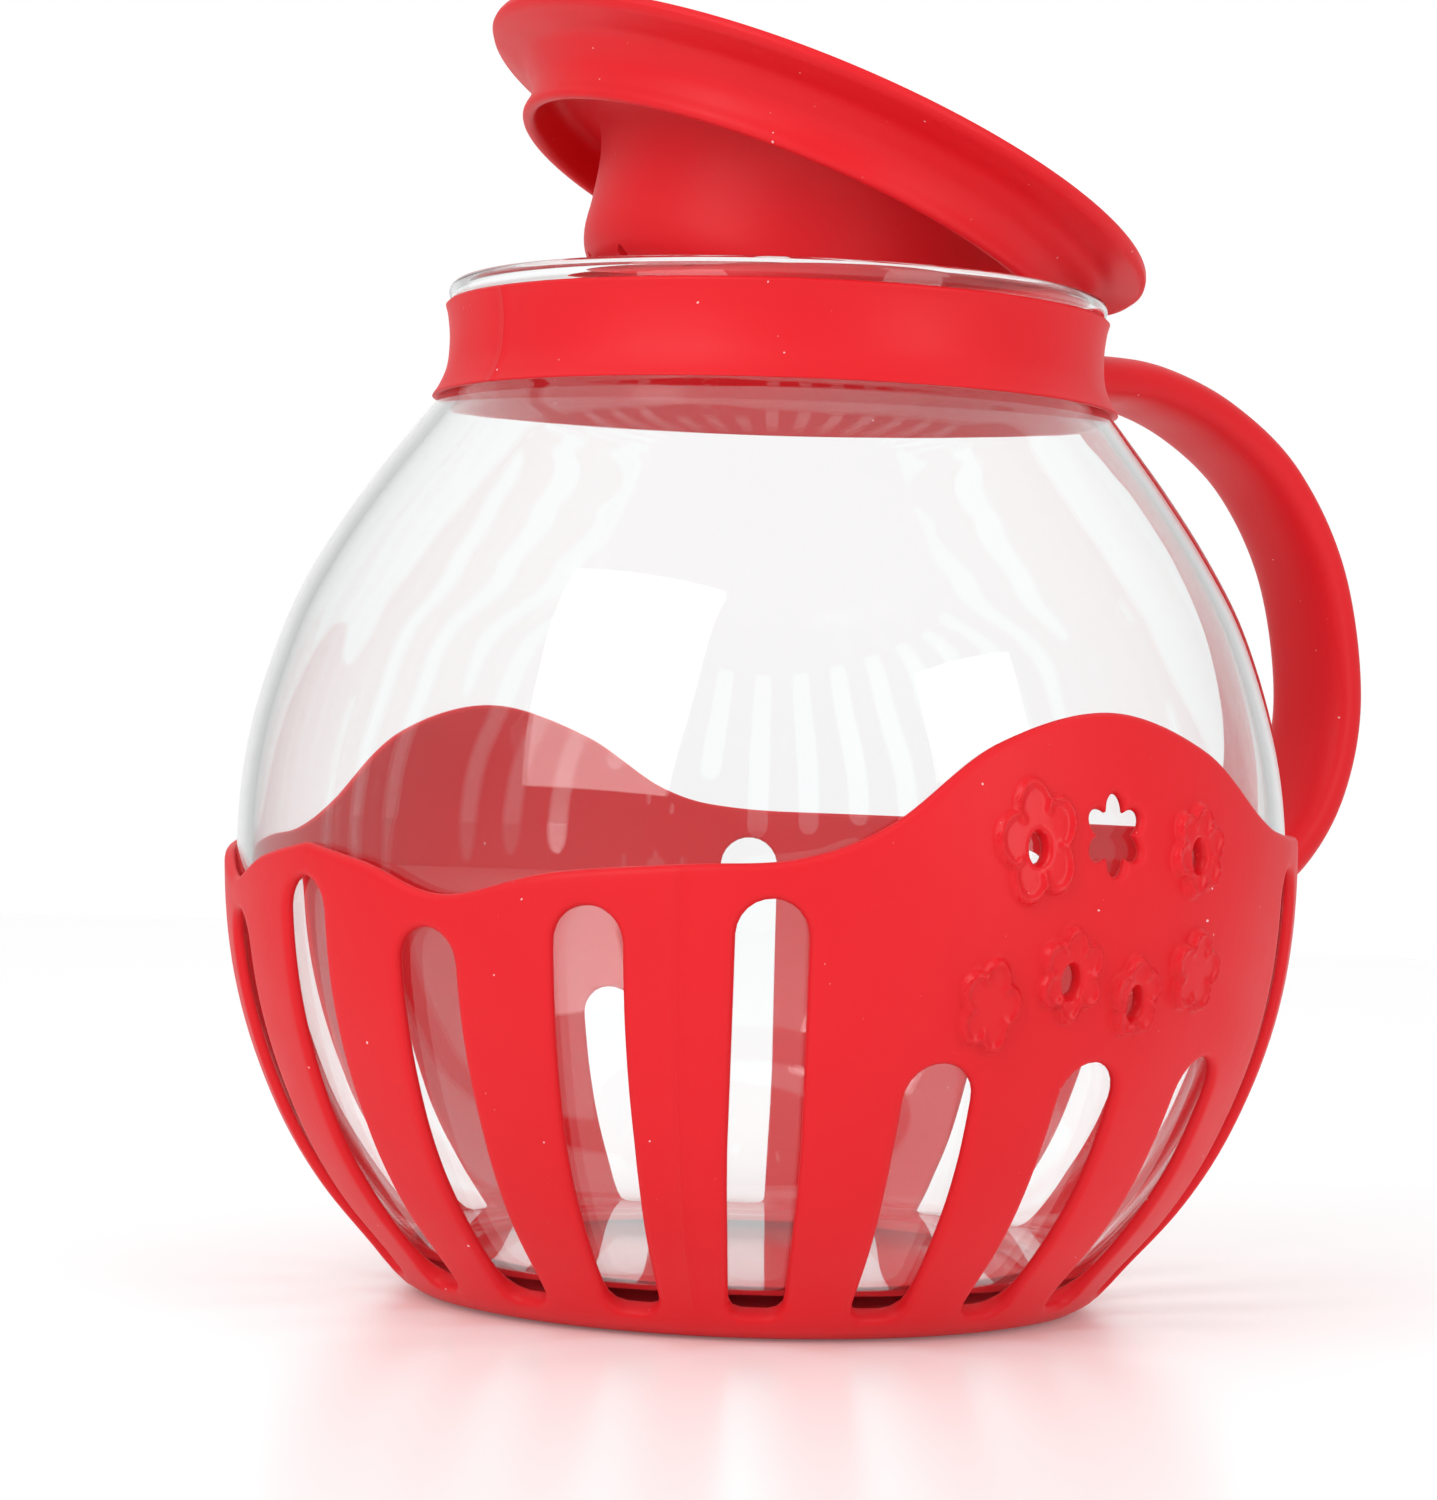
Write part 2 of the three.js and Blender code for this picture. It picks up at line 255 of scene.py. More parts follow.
FLOOR_RADIUS = 1500
FLOOR_DROP = 0.2
FLOOR_WHITE = 0.93
FLOOR_ROUGHNESS = 0.28
FLOOR_GLOW = 0.1


# ---- Lines ----


def smooth_line(points, per_span):
    """A Catmull-Rom line through the points."""
    p = np.array(points, float)
    p = np.vstack([2 * p[0] - p[1], p, 2 * p[-1] - p[-2]])
    t = np.linspace(0, 1, per_span, endpoint=False)[:, None]
    spans = []
    for a, b, c, d in zip(p, p[1:], p[2:], p[3:]):
        square = (2 * a - 5 * b + 4 * c - d) * t**2
        cube = (3 * b - a - 3 * c + d) * t**3
        spans.append(0.5 * (2 * b + (c - a) * t + square + cube))
    return np.vstack([*spans, p[-2]])


def tangents(line):
    """Directions of length 1 along a line, at each of its points."""
    along = np.gradient(line, axis=0)
    return along / np.linalg.norm(along, axis=1)[:, None]


def offset_line(line, distance):
    """The line moved to its right, which is outwards on an outline drawn upwards."""
    along = tangents(line)
    return line + distance * np.column_stack([along[:, 1], -along[:, 0]])


def arc_lengths(line):
    """Distance of each point along a line from its start."""
    return np.concatenate([[0], np.cumsum(np.linalg.norm(np.diff(line, axis=0), axis=1))])


def loop_points(outline, spacing):
    """Points at an even spacing round a closed outline."""
    closed = np.vstack([outline, outline[:1]])
    lengths = arc_lengths(closed)
    at = np.linspace(0, lengths[-1], max(8, int(lengths[-1] / spacing)), endpoint=False)
    return np.column_stack([np.interp(at, lengths, closed[:, k]) for k in (0, 1)])


def grown_loop(loop, distance):
    """A closed loop, drawn anticlockwise, moved outwards by a distance."""
    along = np.roll(loop, -1, axis=0) - np.roll(loop, 1, axis=0)
    along /= np.linalg.norm(along, axis=1)[:, None]
    return loop + distance * np.column_stack([along[:, 1], -along[:, 0]])


def inside_distance(points, loop):
    """Distance from each point to the loop, positive inside it."""
    start, end = loop, np.roll(loop, -1, axis=0)
    side = end - start
    away = points[:, None] - start[None]
    part = np.clip((away * side).sum(-1) / (side**2).sum(-1), 0, 1)
    nearest = np.linalg.norm(away - part[..., None] * side, axis=-1).min(1)
    above = (start[:, 1] > points[:, None, 1]) != (end[:, 1] > points[:, None, 1])
    rise = np.where(side[:, 1] == 0, 1e-9, side[:, 1])
    crossing = start[:, 0] + (points[:, None, 1] - start[:, 1]) * side[:, 0] / rise
    inside = (above & (points[:, None, 0] < crossing)).sum(1) % 2 == 1
    return np.where(inside, nearest, -nearest)


# ---- Meshes ----


def make_object(name, vertices, faces, material, body, replaced):
    mesh = bpy.data.meshes.new(name)
    mesh.from_pydata((np.asarray(vertices, float) * MM).tolist(), [], [list(f) for f in faces])
    mesh.validate()
    mesh.polygons.foreach_set("use_smooth", [True] * len(mesh.polygons))
    mesh.materials.append(material)
    piece = bpy.data.objects.new(name, mesh)
    bpy.context.scene.collection.objects.link(piece)
    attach(piece, body)
    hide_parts(replaced)
    return piece


def even_angles(count):
    return np.arange(count) / count * TURN


def turned(outline, angles):
    """Vertices and faces of a closed outline turned to each angle. Points on the axis are shared."""
    vertices, rows = [], []
    segments = len(angles)
    for r, z in outline:
        if r < 1e-6:
            rows.append([len(vertices)] * segments)
            vertices.append((0, 0, z))
            continue
        rows.append(list(range(len(vertices), len(vertices) + segments)))
        vertices += [(r * math.sin(a), -r * math.cos(a), z) for a in angles]
    faces = []
    for low, high in zip(rows, rows[1:] + rows[:1]):
        for i in range(segments):
            j = (i + 1) % segments
            ring = [low[i], low[j], high[j], high[i]]
            face = list(dict.fromkeys(ring))
            if len(face) > 2:
                faces.append(face)
    return vertices, faces


# ---- Materials ----


def new_material(name):
    material = bpy.data.materials.new(name)
    material.use_nodes = True
    nodes = material.node_tree.nodes
    return material, nodes, material.node_tree.links, nodes["Principled BSDF"]


def noise(nodes, links, coordinates, scale, detail):
    texture = nodes.new("ShaderNodeTexNoise")
    texture.inputs["Scale"].default_value = scale
    texture.inputs["Detail"].default_value = detail
    links.new(coordinates, texture.inputs["Vector"])
    return texture.outputs["Fac"]


def map_range(nodes, links, value, source, target):
    node = nodes.new("ShaderNodeMapRange")
    node.inputs["From Min"].default_value, node.inputs["From Max"].default_value = source
    node.inputs["To Min"].default_value, node.inputs["To Max"].default_value = target
    links.new(value, node.inputs["Value"])
    return node.outputs["Result"]


def arithmetic(nodes, links, operation, value, other=None):
    node = nodes.new("ShaderNodeMath")
    node.operation = operation
    links.new(value, node.inputs[0])
    if other:
        links.new(other, node.inputs[1])
    return node.outputs["Value"]


def dot(nodes, links, vector, direction):
    node = nodes.new("ShaderNodeVectorMath")
    node.operation = "DOT_PRODUCT"
    node.inputs[1].default_value = direction
    links.new(vector, node.inputs[0])
    return node.outputs["Value"]


def bump(nodes, links, height, strength, distance):
    node = nodes.new("ShaderNodeBump")
    node.inputs["Strength"].default_value = strength
    node.inputs["Distance"].default_value = distance
    links.new(height, node.inputs["Height"])
    return node.outputs["Normal"]


def ramp(nodes, links, value, stops):
    node = nodes.new("ShaderNodeValToRGB")
    for element, (position, colour) in zip(node.color_ramp.elements, stops):
        element.position = position
        element.color = (*colour, 1)
    links.new(value, node.inputs["Fac"])
    return node.outputs["Color"]


def silicone(name):
    """Moulded silicone: soft uneven gloss, a very fine tooth, slow colour drift and specks of dust."""
    material, nodes, links, shader = new_material(name)
    where = nodes.new("ShaderNodeTexCoord").outputs["Object"]
    drift = noise(nodes, links, where, DRIFT_SCALE, 3)
    colour = ramp(nodes, links, drift, [(0.3, RED_DEEP), (0.7, RED_LIGHT)])
    dust = noise(nodes, links, where, SPECK_SCALE, 0)
    specks = ramp(nodes, links, dust, zip(SPECK_LEVELS, [(0, 0, 0), (1, 1, 1)]))
    dusted = nodes.new("ShaderNodeMix")
    dusted.data_type = "RGBA"
    dusted.inputs["B"].default_value = (*SPECK_COLOUR, 1)
    links.new(specks, dusted.inputs["Factor"])
    links.new(colour, dusted.inputs["A"])
    links.new(dusted.outputs["Result"], shader.inputs["Base Color"])
    roughest, smoothest = SILICONE_ROUGHNESS + GLOSS_SPREAD, SILICONE_ROUGHNESS - GLOSS_SPREAD
    uneven = noise(nodes, links, where, GLOSS_SCALE, 4)
    roughness = map_range(nodes, links, uneven, (0.3, 0.7), (smoothest, roughest))
    polish = nodes.new("ShaderNodeAttribute")
    polish.attribute_name = POLISH
    polished = map_range(nodes, links, polish.outputs["Fac"], (0, 1), (0, POLISH_GAIN))
    links.new(arithmetic(nodes, links, "SUBTRACT", roughness, polished), shader.inputs["Roughness"])
    tooth = bump(nodes, links, noise(nodes, links, where, TOOTH_SCALE, 4), TOOTH_STRENGTH, TOOTH_DEPTH)
    links.new(tooth, shader.inputs["Normal"])
    shader.inputs["IOR"].default_value = SILICONE_IOR
    shader.inputs["Subsurface Weight"].default_value = SILICONE_SUBSURFACE
    shader.inputs["Subsurface Radius"].default_value = SILICONE_SUBSURFACE_RADIUS
    return material


def let_light_through(nodes, links, shader):
    """Lets the light of the lamps and the studio reach what stands behind the glass."""
    mix = nodes.new("ShaderNodeMixShader")
    ray = nodes.new("ShaderNodeLightPath").outputs
    unseen = arithmetic(nodes, links, "MAXIMUM", ray["Is Shadow Ray"], ray["Is Diffuse Ray"])
    links.new(unseen, mix.inputs[0])
    links.new(shader.outputs["BSDF"], mix.inputs[1])
    links.new(nodes.new("ShaderNodeBsdfTransparent").outputs["BSDF"], mix.inputs[2])
    links.new(mix.outputs["Shader"], nodes["Material Output"].inputs["Surface"])


def silicone_piece(name, vertices, faces, body, replaced):
    return make_object(name, vertices, faces, silicone(name), body, replaced)


def clear_glass():
    """Clear glass with faint smears on it."""
    material, nodes, links, shader = new_material("clear_glass")
    where = nodes.new("ShaderNodeTexCoord").outputs["Object"]
    smears = noise(nodes, links, where, SMEAR_SCALE, 3)
    roughness = map_range(nodes, links, smears, (0.45, 0.8), (0, SMEAR_ROUGHNESS))
    links.new(roughness, shader.inputs["Roughness"])
    shader.inputs["Base Color"].default_value = (*GLASS_COLOUR, 1)
    shader.inputs["IOR"].default_value = GLASS_IOR
    shader.inputs["Transmission Weight"].default_value = 1.0
    let_light_through(nodes, links, shader)
    return material


# ---- Bowl ----

bowl_line = smooth_line(BOWL_OUTLINE, per_span=BOWL_STEPS)


def bowl_outline():
    """The bowl's whole section: up its outside, round the rim's bead, and down its inside."""
    outside = bowl_line
    base_radius, base = outside[0]
    neck = outside[-1, 0]
    bead_radius = RIM_OUTER - RIM_BEAD
    bead_height = RIM_TOP - RIM_BEAD
    bead = [
        (bead_radius + RIM_BEAD * math.cos(a), bead_height + RIM_BEAD * math.sin(a))
        for a in np.radians(np.linspace(*RIM_BEAD_ARC, 19))
    ]
    inside = offset_line(outside, -BOWL_WALL)
    floor = base + BOWL_FLOOR
    inside = inside[inside[:, 1] > floor + HEEL_TOP][::-1]
    heel = smooth_line([inside[-1], *((inside[-1][0] - x, floor + z) for x, z in BOWL_HEEL)], per_span=4)
    return [
        (0, base),
        (base_radius - 4, base),
        *outside,
        (neck, bead_height - NECK_END_OUT),
        *bead,
        (neck - BOWL_WALL, bead_height - NECK_END_IN),
        *inside[:-1],
        *heel,
        (0, floor),
    ]


def glass_bowl():
    vertices, faces = turned(bowl_outline(), even_angles(BOWL_SEGMENTS))
    return make_object("bowl_glass", vertices, faces, clear_glass(), "bowl", "glass_bowl")


# ---- Sleeve ----


def sleeve_side(foot, distance):
    """One side of the sleeve's section: the foot, then the bowl's outline moved outwards."""
    wall = offset_line(bowl_line, distance)[SLEEVE_FOLLOWS * BOWL_STEPS :: BOWL_STEPS]
    return smooth_line([*foot, *wall], per_span=6)


sleeve_outside = sleeve_side(SLEEVE_FOOT, FIT_GAP + SLEEVE_WALL)
sleeve_inside = sleeve_side(SLEEVE_FLOOR, FIT_GAP)
sleeve_along = arc_lengths(sleeve_outside)
sleeve_thickness = np.linalg.norm(sleeve_inside - sleeve_outside, axis=1)
edge_line = smooth_line(SLEEVE_EDGE, per_span=12)


def edge_height(azimuth):
    """Height of the sleeve's top edge. The back half mirrors the front half."""
    front = (np.asarray(azimuth, float) + 90) % 360 - 90
    front = np.where(front > 90, 180 - front, front)
    return np.interp(front, edge_line[:, 0], edge_line[:, 1])


def along_at(height):
    """Distance along the sleeve's section, from its middle, at a height of its outside."""
    return np.interp(height, sleeve_outside[:, 1], sleeve_along)


def on_pattern(shape, azimuth):
    """Points drawn in millimetres beside an azimuth, with their heights, on the flat pattern."""
    along = along_at(shape[:, 1])
    angle = math.radians(azimuth) + shape[:, 0] / np.interp(along, sleeve_along, sleeve_outside[:, 0])
    return np.column_stack([angle * PATTERN_RADIUS, along])


def in_space(pattern, share):
    """Points of the pattern on the sleeve, at a share of the way from its outside to its inside."""
    angle, along = pattern[:, 0] / PATTERN_RADIUS, pattern[:, 1]
    outside, inside = (
        np.array([np.interp(along, sleeve_along, side[:, k]) for k in (0, 1)])
        for side in (sleeve_outside, sleeve_inside)
    )
    r, z = outside + (inside - outside) * share
    return np.column_stack([r * np.sin(angle), -r * np.cos(angle), z])


def slot_loop(top):
    """Outline of a vent slot: round at the top, narrower and nearly square at the foot."""
    half, foot, corner = SLOT_WIDTH / 2, SLOT_FOOT_WIDTH / 2, SLOT_CORNER
    right = [
        (foot - corner + corner * math.sin(a), SLOT_BOTTOM + corner - corner * math.cos(a))
        for a in np.radians((0, 22, 45, 68, 90))
    ]
    right += [(half - short, SLOT_BOTTOM + height) for short, height in SLOT_TAPER]
    right += [(half * math.cos(a), top - half + half * math.sin(a)) for a in np.radians(range(0, 90, 9))]
    left = [(-x, z) for x, z in reversed(right)]
    return loop_points(np.array([*right, (0, top), *left]), SLOT_STEP)


def lobe_swell(angle, lobes, turn, depth=LOBE_DEPTH):
    """Reach of a lobed outline at each angle, as a share of the reach of its tips."""
    return 1 - depth + depth * np.abs(np.sin(lobes * angle / 2 + math.radians(turn)))


def flower_loop(middle, width, height, lobes, turn):
    angle = np.linspace(0, TURN, 96, endpoint=False)
    swell = lobe_swell(angle, lobes, turn, PETAL_DEPTH)
    return np.column_stack([width / 2 * swell * np.cos(angle), middle + height / 2 * swell * np.sin(angle)])


def oval_loop(middle, width, height):
    angle = np.linspace(0, TURN, 20, endpoint=False)
    return np.column_stack([width / 2 * np.cos(angle), middle + height / 2 * np.sin(angle)])


def sleeve_holes():
    """Every opening through the sleeve's wall: azimuth, outline and the rows of points round it."""
    holes = []
    for azimuth in range(-4 * SLOT_PITCH, 360 - 4 * SLOT_PITCH, SLOT_PITCH):
        top = SHORT_SLOT_TOP if azimuth in SHORT_SLOTS else float(edge_height(azimuth)) - SLOT_BELOW_EDGE
        holes.append((azimuth, slot_loop(top), EDGE_ROWS))
    azimuth, *flower = FLOWER_HOLE
    holes.append((azimuth, loop_points(flower_loop(*flower), FLOWER_STEP), HOLE_ROWS))
    for azimuth, middle, *_ in (KERNELS[i] for i in KERNELS_WITH_HOLE):
        holes.append((azimuth, oval_loop(middle - KERNEL_HOLE_DROP, *KERNEL_HOLE), HOLE_ROWS))
    return holes


def soft_step(value):
    """Rises smoothly from 0 to 1 as the value does."""
    part = np.clip(value, 0, 1)
    return part * part * (3 - 2 * part)


def kernel_relief(x, z, width, height, lobes, turn):
    """How far a raised kernel stands out: a low face inside a bead, and a crease at each notch."""
    angle = np.arctan2(z / height, x / width)
    swell = lobe_swell(angle, lobes, turn)
    reach = np.hypot(2 * x / width, 2 * z / height)
    size = (width + height) / 4
    inside = (swell - reach) * size
    bead = np.exp(-(((inside - BEAD_INSET) / BEAD_WIDTH) ** 2))
    from_notch = np.abs(np.sin(lobes * angle / 2 + math.radians(turn))) * 2 / lobes * reach * size
    crease = np.exp(-((from_notch / CREASE_WIDTH) ** 2))
    crease = crease * soft_step((reach - CREASE_START) / CREASE_FADE) * soft_step(inside / 0.6)
    face = soft_step(inside / 0.7 + 0.2)
    return RELIEF_FACE * face + RELIEF_BEAD * np.maximum(bead, CREASE_SHARE * crease)


def relief_on(pattern):
    """Height of the raised kernels and mould lines at points of the flat pattern."""
    relief = np.zeros(len(pattern))
    radius = np.interp(pattern[:, 1], sleeve_along, sleeve_outside[:, 0])
    height = np.interp(pattern[:, 1], sleeve_along, sleeve_outside[:, 1])
    for azimuth, middle, *size in KERNELS:
        x = (pattern[:, 0] / PATTERN_RADIUS - math.radians(azimuth)) * radius
        relief = np.maximum(relief, kernel_relief(x, height - middle, *size))
    above_foot = soft_step((height - SLOT_BOTTOM) / MOULD_LINE_RISE)
    for azimuth in SLEEVE_MOULD_LINES:
        x = (pattern[:, 0] / PATTERN_RADIUS - math.radians(azimuth)) * radius
        ridge = MOULD_LINE_HEIGHT * soft_step(1 - np.abs(x) / MOULD_LINE_HALF_WIDTH)
        relief = np.maximum(relief, ridge * above_foot)
    return relief


def search_tree(points):
    tree = KDTree(len(points))
    for i, point in enumerate(points):
        tree.insert((*point, 0)[:3], i)
    tree.balance()
    return tree


def clear_of(candidates, tree, distance):
    """The candidates that lie further than a distance from every point of the tree."""
    return [p for p in candidates if tree.find((*p, 0))[2] > distance]


def edge_rows(holes):
    """Rows of points along every edge of the sleeve, with the edges that join them."""
    points, edges = [], []

    def add(row, closed):
        first = len(points)
        points.extend(map(tuple, row))
        last = len(row) if closed else len(row) - 1
        edges.extend((first + i, first + (i + 1) % len(row)) for i in range(last))

    for azimuth, loop, distances in holes:
        for distance in distances:
            add(on_pattern(grown_loop(loop, distance), azimuth), True)
    azimuths = np.linspace(PATTERN_CUT, PATTERN_CUT + 360, EDGE_STEPS)
    across, top = np.radians(azimuths) * PATTERN_RADIUS, along_at(edge_height(azimuths))
    for distance in EDGE_ROWS:
        add(np.column_stack([across, top - distance]), False)
    return points, edges


def fine_grid():
    """Close points over the raised kernels and round the flower."""
    points = []
    for azimuth, middle, width, height, *_ in (*KERNELS, FLOWER_HOLE):
        spans = [
            np.arange(-size / 2 - FINE_MARGIN, size / 2 + FINE_MARGIN, FINE_STEP)
            for size in (width, height)
        ]
        x, z = np.meshgrid(*spans)
        x = x + FINE_STEP / 2 * (np.arange(x.shape[0]) % 2)[:, None]
        points.extend(map(tuple, on_pattern(np.column_stack([x.ravel(), z.ravel() + middle]), azimuth)))
    return points


def mould_line_rows():
    """Close points along the mould lines."""
    points = []
    for azimuth in SLEEVE_MOULD_LINES:
        heights = np.arange(SLOT_BOTTOM, float(edge_height(azimuth)) - 1, MOULD_LINE_STEP)
        for x in np.linspace(-1, 1, 5) * MOULD_LINE_HALF_WIDTH:
            row = np.column_stack([np.full(len(heights), x), heights])
            points.extend(map(tuple, on_pattern(row, azimuth)))
    return points


def coarse_grid():
    """Rows of points over the rest of the sleeve, up to just below its top edge."""
    points = []
    for i, along in enumerate(np.arange(0, sleeve_along[-1], COARSE_STEP)):
        count = max(24, int(TURN * np.interp(along, sleeve_along, sleeve_outside[:, 0]) / COARSE_STEP))
        azimuths = PATTERN_CUT + (np.arange(count) + 0.25 + 0.5 * (i % 2)) / count * 360
        below = along < along_at(edge_height(azimuths)) - COARSE_BELOW_EDGE
        points.extend((math.radians(a) * PATTERN_RADIUS, along) for a in azimuths[below])
    highest = along_at(float(edge_height(PATTERN_CUT))) - COARSE_BELOW_EDGE
    for side in (PATTERN_CUT, PATTERN_CUT + 360):
        across = math.radians(side) * PATTERN_RADIUS
        points.extend((across, along) for along in np.arange(0, highest, COARSE_STEP))
    return points


def sleeve_pattern():
    """The flat pattern of the sleeve as points and triangles, with every opening cut out."""
    holes = sleeve_holes()
    points, edges = edge_rows(holes)
    points += clear_of([*fine_grid(), *mould_line_rows()], search_tree(points), FINE_CLEARANCE)
    points += clear_of(coarse_grid(), search_tree(points), COARSE_CLEARANCE)
    pattern, _, triangles, *_ = delaunay_2d_cdt([Vector(p) for p in points], edges, [], 0, 1e-5)
    pattern, triangles = np.array([tuple(p) for p in pattern]), np.array(triangles)
    middles = pattern[triangles].mean(1)
    azimuths = np.degrees(middles[:, 0] / PATTERN_RADIUS)
    kept = middles[:, 1] < along_at(edge_height(azimuths))
    for azimuth, loop, _ in holes:
        outline = on_pattern(loop, azimuth)
        near = (np.abs(middles - outline.mean(0)) < np.ptp(outline, axis=0)).all(1)
        kept[near] &= inside_distance(middles[near], outline) < 0
    used, triangles = np.unique(triangles[kept], return_inverse=True)
    return pattern[used], triangles.reshape(-1, 3)


def edge_distance(pattern, triangles):
    """Distance of every point from the nearest edge of the sleeve, on its outside."""
    sides = np.sort(np.vstack([triangles[:, [0, 1]], triangles[:, [1, 2]], triangles[:, [2, 0]]]), axis=1)
    sides, uses = np.unique(sides, axis=0, return_counts=True)
    left, right, lowest = pattern[:, 0].min(), pattern[:, 0].max(), pattern[:, 1].min()
    inner = (pattern[:, 0] > left + 1e-3) & (pattern[:, 0] < right - 1e-3) & (pattern[:, 1] > lowest + 1e-3)
    open_sides = sides[(uses == 1) & inner[sides].any(1)]
    surface = in_space(pattern, 0)
    steps = np.linspace(0, 1, 9)[:, None, None]
    start, end = surface[open_sides[:, 0]], surface[open_sides[:, 1]]
    tree = search_tree((start + (end - start) * steps).reshape(-1, 3))
    distance = np.array([tree.find(p)[2] for p in surface])
    distance[open_sides.ravel()] = 0
    return distance


def round_over(distance, width):
    """Share by which a rounded edge falls back, from 1 at the edge to 0 at its width."""
    part = 1 - np.clip(distance / width, 0, 1)
    return 1 - np.sqrt(1 - part**2)


def weld(piece):
    """Joins points that lie on each other."""
    shape = bmesh.new()
    shape.from_mesh(piece.data)
    bmesh.ops.remove_doubles(shape, verts=shape.verts, dist=2e-6)
    shape.to_mesh(piece.data)
    shape.free()


def sleeve():
    """The slotted cup under the bowl: its flat pattern wrapped round, as an outer and an inner skin."""
    pattern, triangles = sleeve_pattern()
    distance = edge_distance(pattern, triangles)
    thickness = np.interp(pattern[:, 1], sleeve_along, sleeve_thickness)
    outer_share = EDGE_ROUND_OUT / SLEEVE_WALL * round_over(distance, EDGE_ROUND_OUT)
    relief = relief_on(pattern) * soft_step(distance / RELIEF_FADE)
    outer_share -= relief / thickness
    inner_share = 1 - EDGE_ROUND_IN / SLEEVE_WALL * round_over(distance, EDGE_ROUND_IN)
    vertices = np.vstack([in_space(pattern, outer_share), in_space(pattern, inner_share)])
    faces = [*triangles, *(triangles[:, ::-1] + len(pattern))]
    piece = silicone_piece("sleeve_silicone", vertices, faces, "bowl", "sleeve")
    polish = np.concatenate([soft_step(relief / RELIEF_FACE), np.zeros(len(pattern))])
    piece.data.attributes.new(POLISH, "FLOAT", "POINT").data.foreach_set("value", polish)
    weld(piece)
    return piece


# ---- Collar, handle and lid ----


def neck_collar():
    """The waisted ring round the bowl's neck, with its two mould lines."""
    outside = smooth_line(COLLAR_OUTLINE, per_span=6)
    end_radius, end_height = outside[-1]
    lip = [(end_radius - inwards, end_height + up) for inwards, up in COLLAR_LIP]
    against_glass = offset_line(bowl_line, FIT_GAP / 2)
    inside = [(np.interp(z, against_glass[:, 1], against_glass[:, 0]), z) for _, z in outside][::-1]
    lines = np.radians(COLLAR_MOULD_LINES)
    beside = MOULD_LINE_HALF_WIDTH / outside[0][0]
    angles = np.concatenate([even_angles(COLLAR_SEGMENTS), lines, lines - beside, lines + beside])
    angles = np.unique(angles.round(6))
    vertices, faces = turned([*outside, *lip, *inside], angles)
    grid = np.array(vertices).reshape(-1, len(angles), 3)
    on_line = np.isin(angles, lines.round(6))
    grid[: len(outside), on_line, :2] *= 1 + MOULD_LINE_HEIGHT / outside[0][0]
    return silicone_piece("collar_silicone", grid.reshape(-1, 3), faces, "bowl", "neck_collar")


def strap_section(width, thickness):
    """Section of the strap: rounded sides and slightly crowned faces."""
    angle = np.linspace(0, TURN, HANDLE_POINTS, endpoint=False)
    power = 2 / HANDLE_SQUARENESS
    across = np.sign(np.cos(angle)) * np.abs(np.cos(angle)) ** power * width / 2
    up = np.sign(np.sin(angle)) * np.abs(np.sin(angle)) ** power * thickness / 2
    return across, up


def root_flare(line):
    """How much thicker the strap is at each point, where it grows out of the collar and the sleeve."""
    along = arc_lengths(line)
    from_start = np.exp(-(((along - 1) / ROOT_LENGTH) ** 2))
    from_end = np.exp(-(((along[-1] - 1 - along) / ROOT_LENGTH) ** 2))
    return ROOT_FLARE * (from_start + from_end)


def handle():
    """The strap from the collar round to the sleeve."""
    line = smooth_line(HANDLE_LINE, per_span=12)
    count = HANDLE_POINTS
    vertices = []
    for (reach, height), (dx, dz), flare in zip(line, tangents(line), root_flare(line)):
        across, up = strap_section(HANDLE_WIDTH + ROOT_SPREAD * flare, HANDLE_THICKNESS + flare)
        vertices += [(reach - dz * u, a, height + dx * u) for a, u in zip(across, up)]
    faces = []
    for i in range(len(line) - 1):
        for k in range(count):
            n = (k + 1) % count
            faces.append((i * count + k, i * count + n, (i + 1) * count + n, (i + 1) * count + k))
    faces.append(list(range(count))[::-1])
    faces.append([(len(line) - 1) * count + k for k in range(count)])
    return silicone_piece("handle_silicone", vertices, faces, "bowl", "handle")


def cut(piece, cutter):
    """Cuts one object out of another, and removes the cutter."""
    modifier = piece.modifiers.new("cut", "BOOLEAN")
    modifier.operation = "DIFFERENCE"
    modifier.object = cutter
    graph = bpy.context.evaluated_depsgraph_get()
    result = bpy.data.meshes.new_from_object(piece.evaluated_get(graph))
    piece.modifiers.clear()
    piece.data = result
    bpy.data.objects.remove(cutter)


def lid_slots(tip):
    """The slots through the cup's lower edge, as one object to cut with."""
    width, length, ring = LID_SLOT
    low = LID_SEAT + LID_UNDERSIDE[-1][1] - SLOT_CUTTER_BELOW
    loop = oval_loop(ring, width, length)
    count = len(loop)
    vertices, faces = [], []
    for i in range(LID_SLOTS):
        turn = i / LID_SLOTS * TURN
        first = len(vertices)
        for z in (low, low + SLOT_CUTTER_HEIGHT):
            for x, y in loop:
                point = (x * math.cos(turn) - y * math.sin(turn), x * math.sin(turn) + y * math.cos(turn), z)
                vertices.append(tip @ Vector(point) * MM)
        faces.append([first + k for k in range(count)][::-1])
        faces.append([first + count + k for k in range(count)])
        for k in range(count):
            n = (k + 1) % count
            faces.append([first + k, first + n, first + count + n, first + count + k])
    mesh = bpy.data.meshes.new("lid_slots")
    mesh.from_pydata(vertices, [], faces)
    cutter = bpy.data.objects.new("lid_slots", mesh)
    bpy.context.scene.collection.objects.link(cutter)
    return cutter


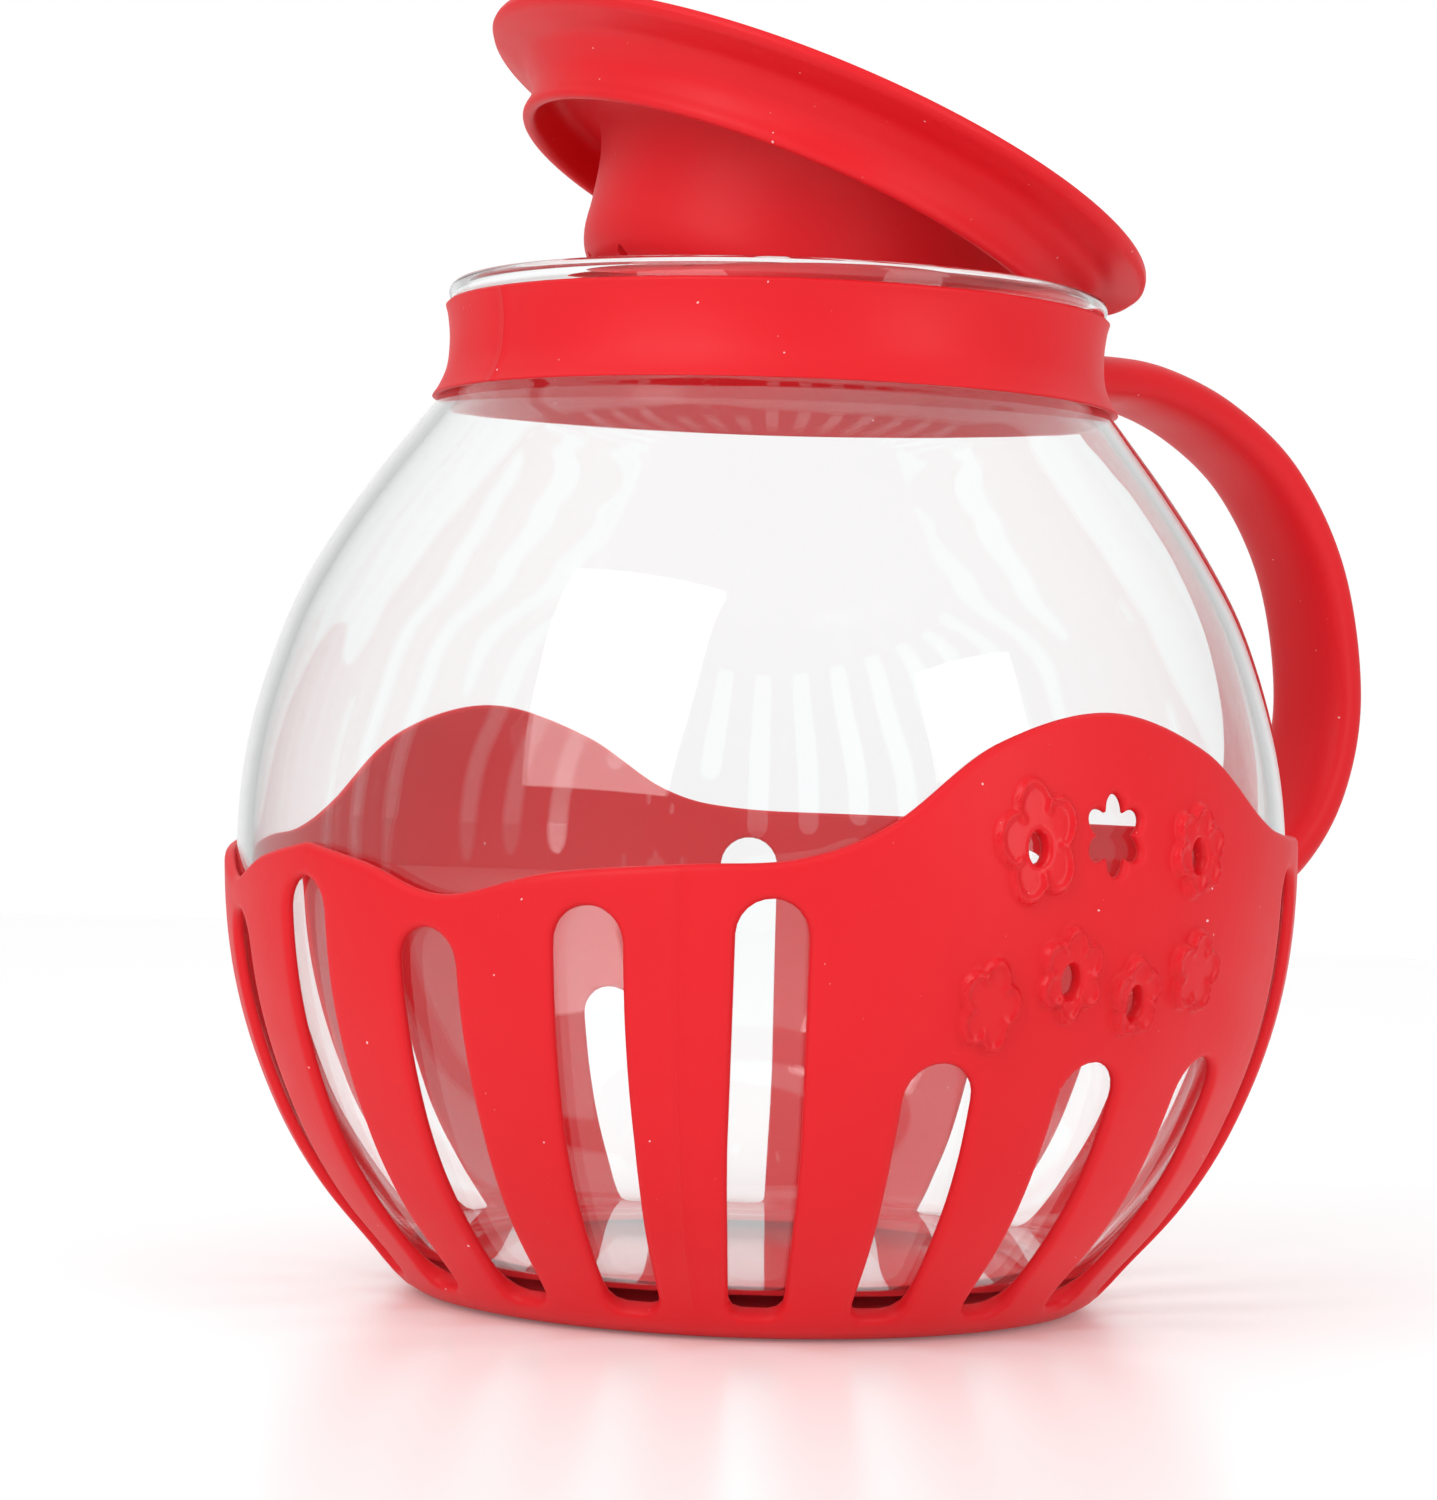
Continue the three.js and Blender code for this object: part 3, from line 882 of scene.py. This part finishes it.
def lid():
    """The lid, drawn on its seat and then tipped to its place at rest."""
    outline = np.vstack([smooth_line(side, per_span=4) for side in (LID_UNDERSIDE, LID_TOP)])
    vertices, faces = turned([(max(r, 0), z + LID_SEAT) for r, z in outline], even_angles(LID_SEGMENTS))
    joint = frame["joints"][0]
    pivot = Matrix.Translation(Vector(joint["pos_m"]) / MM)
    tip = pivot @ Matrix.Rotation(math.radians(LID_TILT), 4, Vector(joint["axis"])) @ pivot.inverted()
    placed = [tuple(tip @ Vector(v)) for v in vertices]
    piece = silicone_piece("lid_silicone", placed, faces, "lid", "lid")
    cut(piece, lid_slots(tip))
    piece.data.set_sharp_from_angle(angle=math.radians(LID_SHARP_EDGE))
    return piece


# ---- Stage ----


def floor():
    """A white, slightly glossy disc just under the object."""
    angles = even_angles(96)
    vertices = [(FLOOR_RADIUS * math.cos(a), FLOOR_RADIUS * math.sin(a), -FLOOR_DROP) for a in angles]
    material, _, _, shader = new_material("floor_white")
    shader.inputs["Base Color"].default_value = (FLOOR_WHITE, FLOOR_WHITE, FLOOR_WHITE, 1)
    shader.inputs["Roughness"].default_value = FLOOR_ROUGHNESS
    shader.inputs["Emission Color"].default_value = (1, 1, 1, 1)
    shader.inputs["Emission Strength"].default_value = FLOOR_GLOW
    mesh = bpy.data.meshes.new("floor")
    mesh.from_pydata((np.array(vertices) * MM).tolist(), [], [list(range(len(vertices)))])
    mesh.materials.append(material)
    plane = bpy.data.objects.new("floor", mesh)
    bpy.context.scene.collection.objects.link(plane)


def world_light():
    """A white studio: palest behind the object and overhead, and greyer at the sides."""
    world = bpy.data.worlds.new("studio")
    bpy.context.scene.world = world
    world.use_nodes = True
    nodes, links = world.node_tree.nodes, world.node_tree.links
    direction = nodes.new("ShaderNodeTexCoord").outputs["Generated"]
    a = math.radians(CAMERA_AZIMUTH)
    behind = dot(nodes, links, direction, (-math.sin(a), math.cos(a), 0))
    backdrop = map_range(nodes, links, behind, BACKDROP_EDGE, (0, BACKDROP_LIGHT))
    upwards = dot(nodes, links, direction, (0, 0, 1))
    ceiling = map_range(nodes, links, upwards, CEILING_EDGE, (SIDE_LIGHT, SIDE_LIGHT + CEILING_LIGHT))
    background = nodes["Background"]
    background.inputs["Color"].default_value = (1, 1, 1, 1)
    links.new(arithmetic(nodes, links, "ADD", ceiling, backdrop), background.inputs["Strength"])
    bpy.context.scene.view_settings.view_transform = "Standard"


def softbox(name, azimuth, elevation, distance, size, watts):
    a, e = math.radians(CAMERA_AZIMUTH + azimuth), math.radians(elevation)
    back = Vector((math.sin(a) * math.cos(e), -math.cos(a) * math.cos(e), math.sin(e)))
    data = bpy.data.lights.new(name, "AREA")
    data.shape = "RECTANGLE"
    data.size, data.size_y = size
    data.energy = watts
    lamp = bpy.data.objects.new(name, data)
    lamp.location = Vector((0, 0, CAMERA_HEIGHT * MM)) + back * distance
    lamp.rotation_euler = back.to_track_quat("Z", "Y").to_euler()
    bpy.context.scene.collection.objects.link(lamp)


def camera():
    a = math.radians(CAMERA_AZIMUTH)
    back = Vector((math.sin(a), -math.cos(a), 0))
    right = Vector((math.cos(a), math.sin(a), 0))
    place = (back * CAMERA_DISTANCE + Vector((0, 0, CAMERA_HEIGHT))) * MM
    target = (-right * CAMERA_AIM_LEFT + Vector((0, 0, CAMERA_AIM_HEIGHT))) * MM
    forward = (target - place).normalized()
    level = forward.cross(Vector((0, 0, 1))).normalized()
    rise = level.cross(forward)
    roll = math.radians(CAMERA_ROLL)
    x = level * math.cos(roll) + rise * math.sin(roll)
    y = rise * math.cos(roll) - level * math.sin(roll)
    turn = Matrix((x, y, -forward)).transposed()
    data = bpy.data.cameras.new("camera")
    data.sensor_width = CAMERA_SENSOR
    data.lens = CAMERA_LENS
    data.clip_start = CAMERA_NEAR
    made = bpy.data.objects.new("camera", data)
    made.matrix_world = Matrix.Translation(place) @ turn.to_4x4()
    bpy.context.scene.collection.objects.link(made)
    bpy.context.scene.camera = made


glass_bowl()
sleeve()
neck_collar()
handle()
lid()
floor()
world_light()
softbox("key", *KEY_SOFTBOX)
softbox("fill", *FILL_SOFTBOX)
camera()
